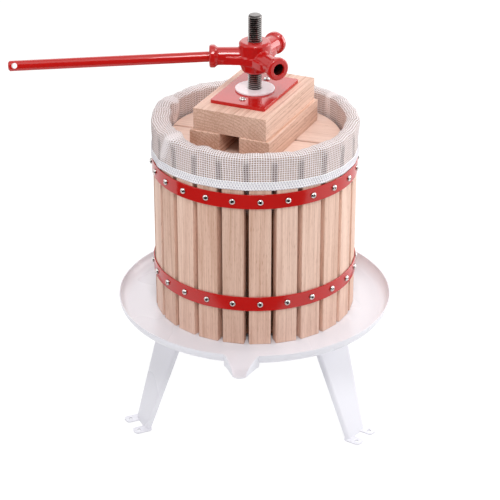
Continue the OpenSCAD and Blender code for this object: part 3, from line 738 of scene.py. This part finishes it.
def open_weave(name, warp_step, weft_step, thread, colour, shadow, see_through):
    made, tree = bare_material(name)
    cloth = node(tree, "ShaderNodeUVMap", uv_map="cloth").outputs[0]
    drift = vectors(tree, "MULTIPLY", noise(tree, cloth, 55.0, 1.0, "Color"), (0.0016, 0.0016, 0.0))
    laid = node(tree, "ShaderNodeSeparateXYZ", {0: vectors(tree, "ADD", cloth, drift)}).outputs
    doubled, shade, inside_shade = [stored(tree, label) for label in ("doubled", "shade", "inside_shade")]
    covers = []
    for side, step in (("X", warp_step), ("Y", weft_step)):
        away = maths(tree, "PINGPONG", maths(tree, "DIVIDE", laid[side], step), 0.5)
        away = maths(tree, "MULTIPLY_ADD", doubled, -0.2, away)
        covers.append(between(tree, away, 1.0, 0.0, thread / 2 - 0.07, thread / 2 + 0.07))
    cover = maths(tree, "MAXIMUM", *covers)
    slub = between(tree, noise(tree, cloth, 420.0, 2.0), 0.0, 0.16, 0.35, 0.75)
    tint = maths(tree, "ADD", slub, between(tree, cover, 1.0, 0.0))
    # The liner under the boards is painted brown: painted shade.
    weave_colour = blend_colour(tree, inside_shade, blend_colour(tree, tint, colour, shadow), INSIDE_SHADE_BROWN)
    # Over the slats' gaps the threads are darkened and the holes filled with dark: painted shade.
    weave_colour = blend_colour(tree, between(tree, shade, 0.0, 0.36), weave_colour, GAP_SHADE)
    sockets = {"Base Color": weave_colour, "Roughness": 0.85, "Specular IOR Level": 0.2,
               "Normal": bump(tree, maths(tree, "ADD", *covers), 0.6, 0.0004)}
    if see_through:
        sockets["Alpha"] = maths(tree, "MAXIMUM", between(tree, shade, 1.0 - see_through, 0.85), cover)
    finish_surface(tree, sockets)
    return made


gauze = open_weave("gauze", warp_step=0.0036, weft_step=0.0034, thread=0.44, see_through=0.74,
                   colour=(0.99, 0.915, 0.913, 1.0), shadow=(0.15, 0.06, 0.042, 1.0))
bag = linked("gauze_bag", bag_mesh(), gauze)
finish_piece(bag, "basket", smooth=80.0)
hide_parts("filter_bag")

# Hem: a white woven tape folded over the bag's raw edge and sewn down with two rows of
# straight stitches, drawn in a little by the thread.
HEM_MIDDLE_Z, HEM_HALF, HEM_T = 0.42585, 0.0065, 0.0015
HEM_CLEAR, HEM_BACK = 0.0001, -0.25
HEM_SLANT, HEM_PARTS = 0.5, 15
STITCH_ROWS = (-0.66, 0.66)
STITCH_LIFT, STITCH_STEP = 0.0001, 0.0031
THREAD_LIT, THREAD_SHADED = (0.86, 0.86, 0.87, 1.0), (0.66, 0.65, 0.67, 1.0)
STITCH_SPOKES, STITCH_FLAT = 6, 0.8
STITCH_SHAPE = [(-0.5, 0.25), (-0.3, 0.9), (0.0, 1.0), (0.3, 0.9), (0.5, 0.25)]


def hem_path(turn, part, proud):
    radius, height = cloth_at(turn, SKIRT_R, SKIRT_LOW_Z)
    swell = proud * HEM_T * (0.5 + 0.28 * np.cos(3 * math.pi * part) + 0.22 * (1.0 - part * part))
    return radius + HEM_CLEAR + swell, height + part * HEM_HALF + (HEM_MIDDLE_Z - SKIRT_LOW_Z)


def hem_mesh():
    parts = np.linspace(-1.0, 1.0, HEM_PARTS)
    loop = [(part, 1.0) for part in parts] + [(part, HEM_BACK) for part in parts[::-1]]
    verts = [ring_points(*hem_path(BAG_TURNS, part, proud)) for part, proud in loop]
    faces, corners = [], []
    for row in range(len(loop)):
        after = (row + 1) % len(loop)
        low, high = loop[row][0] * HEM_HALF, loop[after][0] * HEM_HALF
        here, there = row * BAG_STEPS, after * BAG_STEPS
        for step in range(BAG_STEPS):
            beside = (step + 1) % BAG_STEPS
            faces.append((here + step, here + beside, there + beside, there + step))
            left, right = SKIRT_ROUND * step / BAG_STEPS, SKIRT_ROUND * (step + 1) / BAG_STEPS
            corners += [(left + HEM_SLANT * low, low), (right + HEM_SLANT * low, low),
                        (right + HEM_SLANT * high, high), (left + HEM_SLANT * high, high)]
    mesh = mesh_of("hem_binding", np.concatenate(verts), faces)
    mesh.uv_layers.new(name="cloth").data.foreach_set("uv", np.array(corners, np.float32).ravel())
    return mesh


def stitch_tree():
    tree, given = new_tree("row_of_stitches", "Stitches", Seam="Geometry", Pattern="Object",
                           Thread="Material", Step="Float")
    curve = node(tree, "GeometryNodeMeshToCurve", {"Mesh": given["Seam"]}).outputs[0]
    points = node(tree, "GeometryNodeCurveToPoints", {"Curve": curve, "Length": given["Step"]},
                  mode="LENGTH").outputs
    aimed = node(tree, "FunctionNodeAlignRotationToVector", {"Vector": points["Tangent"]}, axis="X")
    shape = node(tree, "GeometryNodeObjectInfo", {"Object": given["Pattern"]}).outputs["Geometry"]
    placed = node(tree, "GeometryNodeInstanceOnPoints", {
        "Points": points["Points"], "Instance": shape, "Rotation": aimed.outputs[0]}).outputs[0]
    end_tree(tree, "Stitches", placed, given["Thread"])
    return tree


def stitch_pattern(length, thick):
    verts, faces = [], []
    for along, wide in STITCH_SHAPE:
        reach = wide * thick
        for spoke in range(STITCH_SPOKES):
            turn = 2 * math.pi * spoke / STITCH_SPOKES
            verts.append((along * length, reach * math.cos(turn), reach * STITCH_FLAT * math.sin(turn)))
    for near in range(0, len(verts) - STITCH_SPOKES, STITCH_SPOKES):
        for spoke in range(STITCH_SPOKES):
            far, beside = near + STITCH_SPOKES, (spoke + 1) % STITCH_SPOKES
            faces.append((near + spoke, near + beside, far + beside, far + spoke))
    faces.append(tuple(reversed(range(STITCH_SPOKES))))
    faces.append(tuple(range(len(verts) - STITCH_SPOKES, len(verts))))
    return bpy.data.objects.new("stitch_pattern", mesh_of("stitch_pattern", verts, faces))


hem_tape = open_weave("hem_tape", warp_step=0.0041, weft_step=0.0036, thread=0.54, see_through=0.0,
                      colour=(0.98, 0.965, 0.975, 1.0), shadow=(0.56, 0.52, 0.60, 1.0))
hem = linked("hem_binding", hem_mesh(), hem_tape)
finish_piece(hem, "basket", smooth=50.0)
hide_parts("bag_hem")

hem_thread, tree = bare_material("hem_thread")
twist = node(tree, "ShaderNodeTexWave", {"Vector": object_place(tree), "Scale": 700.0, "Distortion": 1.5},
             bands_direction="DIAGONAL").outputs["Fac"]
twisted = blend_colour(tree, twist, THREAD_LIT, THREAD_SHADED)
finish_surface(tree, {"Base Color": twisted, "Roughness": 0.75})
seam_verts, seam_edges = [], []
for part in STITCH_ROWS:
    radius, height = hem_path(BAG_TURNS, part, 1.0)
    first = len(seam_verts)
    seam_verts += list(ring_points(radius + STITCH_LIFT, height))
    seam_edges += [(first + step, first + (step + 1) % BAG_STEPS) for step in range(BAG_STEPS)]
seam_lines = mesh_of("hem_seam_lines", seam_verts, [], seam_edges)
stitch = stitch_pattern(length=0.0024, thick=0.00038)
stitches = made_by_nodes("hem_stitches", stitch_tree(), seam_lines, Pattern=stitch, Thread=hem_thread,
                         Step=STITCH_STEP)
bpy.data.objects.remove(stitch)
finish_piece(stitches, "basket", smooth=60.0)

# Pressing boards and blocks: planed beech, edges eased with a block plane. Two half-round
# boards of two planks each lie a few millimetres apart; two lower blocks bridge their split,
# and a wide block lies across these.
BOARD_TURN, BLOCK_TURN = math.radians(-12.0), math.radians(71.3)
BOARD_EASE, LOW_EASE, HIGH_EASE = 0.0010, 0.0016, 0.0014
PLANKS = [("front_inner", (-0.02, 0.31), 0.98), ("front_outer", (-0.11, 0.33), 1.06),
          ("back_inner", (0.04, 0.30), 0.90), ("back_outer", (0.12, 0.32), 1.02)]
BLOCKS = [("block_low_left", "lower_block_left", LOW_EASE, (0.10, 0.38), 0.35),
          ("block_low_right", "lower_block_right", LOW_EASE, (0.03, 0.36), 0.52),
          ("block_high", "top_block", HIGH_EASE, (0.045, 0.385), 0.66)]
block_beech = beech("block_beech", (0.93, 0.64, 0.51, 1.0), (0.56, 0.30, 0.20, 1.0),
                    ring_step=0.0047, ring_depth=0.36)
board_beech = beech("board_beech", (0.88, 0.64, 0.54, 1.0), (0.60, 0.375, 0.28, 1.0),
                    ring_step=0.0047, ring_depth=0.14)

for spot, pith, tone in PLANKS:
    plank = eased_copy("plank_" + spot, "press_plank_" + spot, "press", board_beech,
                       BOARD_EASE)
    remember_grain(plank.data, pith, BOARD_TURN, tone)
for name, cad, ease, pith, tone in BLOCKS:
    block = eased_copy(name, cad, "press", block_beech, ease)
    remember_grain(block.data, pith, BLOCK_TURN, tone)

# Steel plate: a red coated plate screwed to the upper block, which takes the nut's thrust
# through a milky nylon washer; two bright pan-headed screws hold it.
PLATE_EASE, WASHER_EASE = 0.0009, 0.0007
PLATE_SCREW_R, PLATE_HEAD_H = 0.043, 0.0026
NYLON_CLEAR, NYLON_MILKY = (1.0, 0.92, 0.945, 1.0), (0.97, 0.85, 0.88, 1.0)
eased_copy("plate_coated", "pressure_plate", "press", red_coat, PLATE_EASE, segments=3)
head_top_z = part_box("plate_screws")[1].z
plate_screw = pan_head(head_d=0.0095, head_h=PLATE_HEAD_H, shank_d=0.005, shank_l=0.021, recess=0.0018)
plate_screw.data.transform(Matrix.Rotation(-math.pi / 2, 4, "Y"))
screws = ring_of("plate_screw_heads", plate_screw, "press", "bright_steel", screw_steel, Count=2,
                 Radius=PLATE_SCREW_R, Height=head_top_z - PLATE_HEAD_H, Turn=BLOCK_TURN, Spin=0.0, Seed=5)
bpy.data.objects.remove(plate_screw)
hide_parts("plate_screws")

nylon, tree = bare_material("nylon")
cloud = noise(tree, object_place(tree), 130.0, 3.0)
finish_surface(tree, {
    "Base Color": blend_colour(tree, cloud, NYLON_CLEAR, NYLON_MILKY),
    "Roughness": between(tree, cloud, 0.16, 0.28, 0.3, 0.7), "Subsurface Weight": 0.1,
    "Subsurface Radius": (0.004, 0.002, 0.002), "Subsurface Scale": 0.6})
eased_copy("washer_nylon", "thrust_washer", "press", nylon, WASHER_EASE)

# Nut: one iron casting with three arms and a web between them, its edges rounded by the
# mould and by the thick red coat; the insides of the sockets are painted dark red as painted
# shade; the bore is cut for the rod, and the nut runs on the thread above the washer.
ARM_COUNT, FIRST_ARM = 3, 186.5
SOCKET_Z = 0.56405
SOCKET_END, SOCKET_MOUTH, SOCKET_WALL = (0.028, 0.030), (0.0610, 0.0640), (0.0090, 0.0098)
CAST_VOXEL, CAST_ROUNDS = 0.0007, 9
cast_red = coated_steel("cast_red", (0.56, 0.010, 0.009, 1.0), (0.50, 0.008, 0.007, 1.0),
                        roughness=0.11, peel_depth=0.00002, shine=0.55)
nut = linked("cast_nut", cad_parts["nut_hub"].data.copy(), cast_red)
put_back(merged(nut.data), nut.data)
casting = nut.modifiers.new("casting", "REMESH")
casting.mode = "VOXEL"
casting.voxel_size = CAST_VOXEL
rounding = nut.modifiers.new("rounding", "SMOOTH")
rounding.factor = 0.5
rounding.iterations = CAST_ROUNDS
cast_mesh = plain_mesh(nut)
nut.modifiers.clear()
nut.data = cast_mesh
places = np.array([vert.co for vert in cast_mesh.vertices])
inside = np.zeros(len(places))
# Mark the insides of the sockets for painted shade.
for arm in range(ARM_COUNT):
    turn = math.radians(FIRST_ARM + 360.0 / ARM_COUNT * arm)
    along = places @ np.array((math.cos(turn), math.sin(turn), 0.0))
    aside = np.hypot(places @ np.array((-math.sin(turn), math.cos(turn), 0.0)), places[:, 2] - SOCKET_Z)
    depth = soft_step(along, *SOCKET_END) * soft_step(-along, -SOCKET_MOUTH[1], -SOCKET_MOUTH[0])
    inside = np.maximum(inside, depth * soft_step(-aside, -SOCKET_WALL[1], -SOCKET_WALL[0]))
store(cast_mesh, "socket_shade", inside)
finish_piece(nut, "nut", smooth=60.0)
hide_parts("nut_hub")

# Handle: a round steel bar with a cross hole at its free end, coated red, that slides in and
# out of the arm's socket.
BAR_EASE = 0.0006
eased_copy("lever_bar", "handle_bar", "handle", red_coat, BAR_EASE)
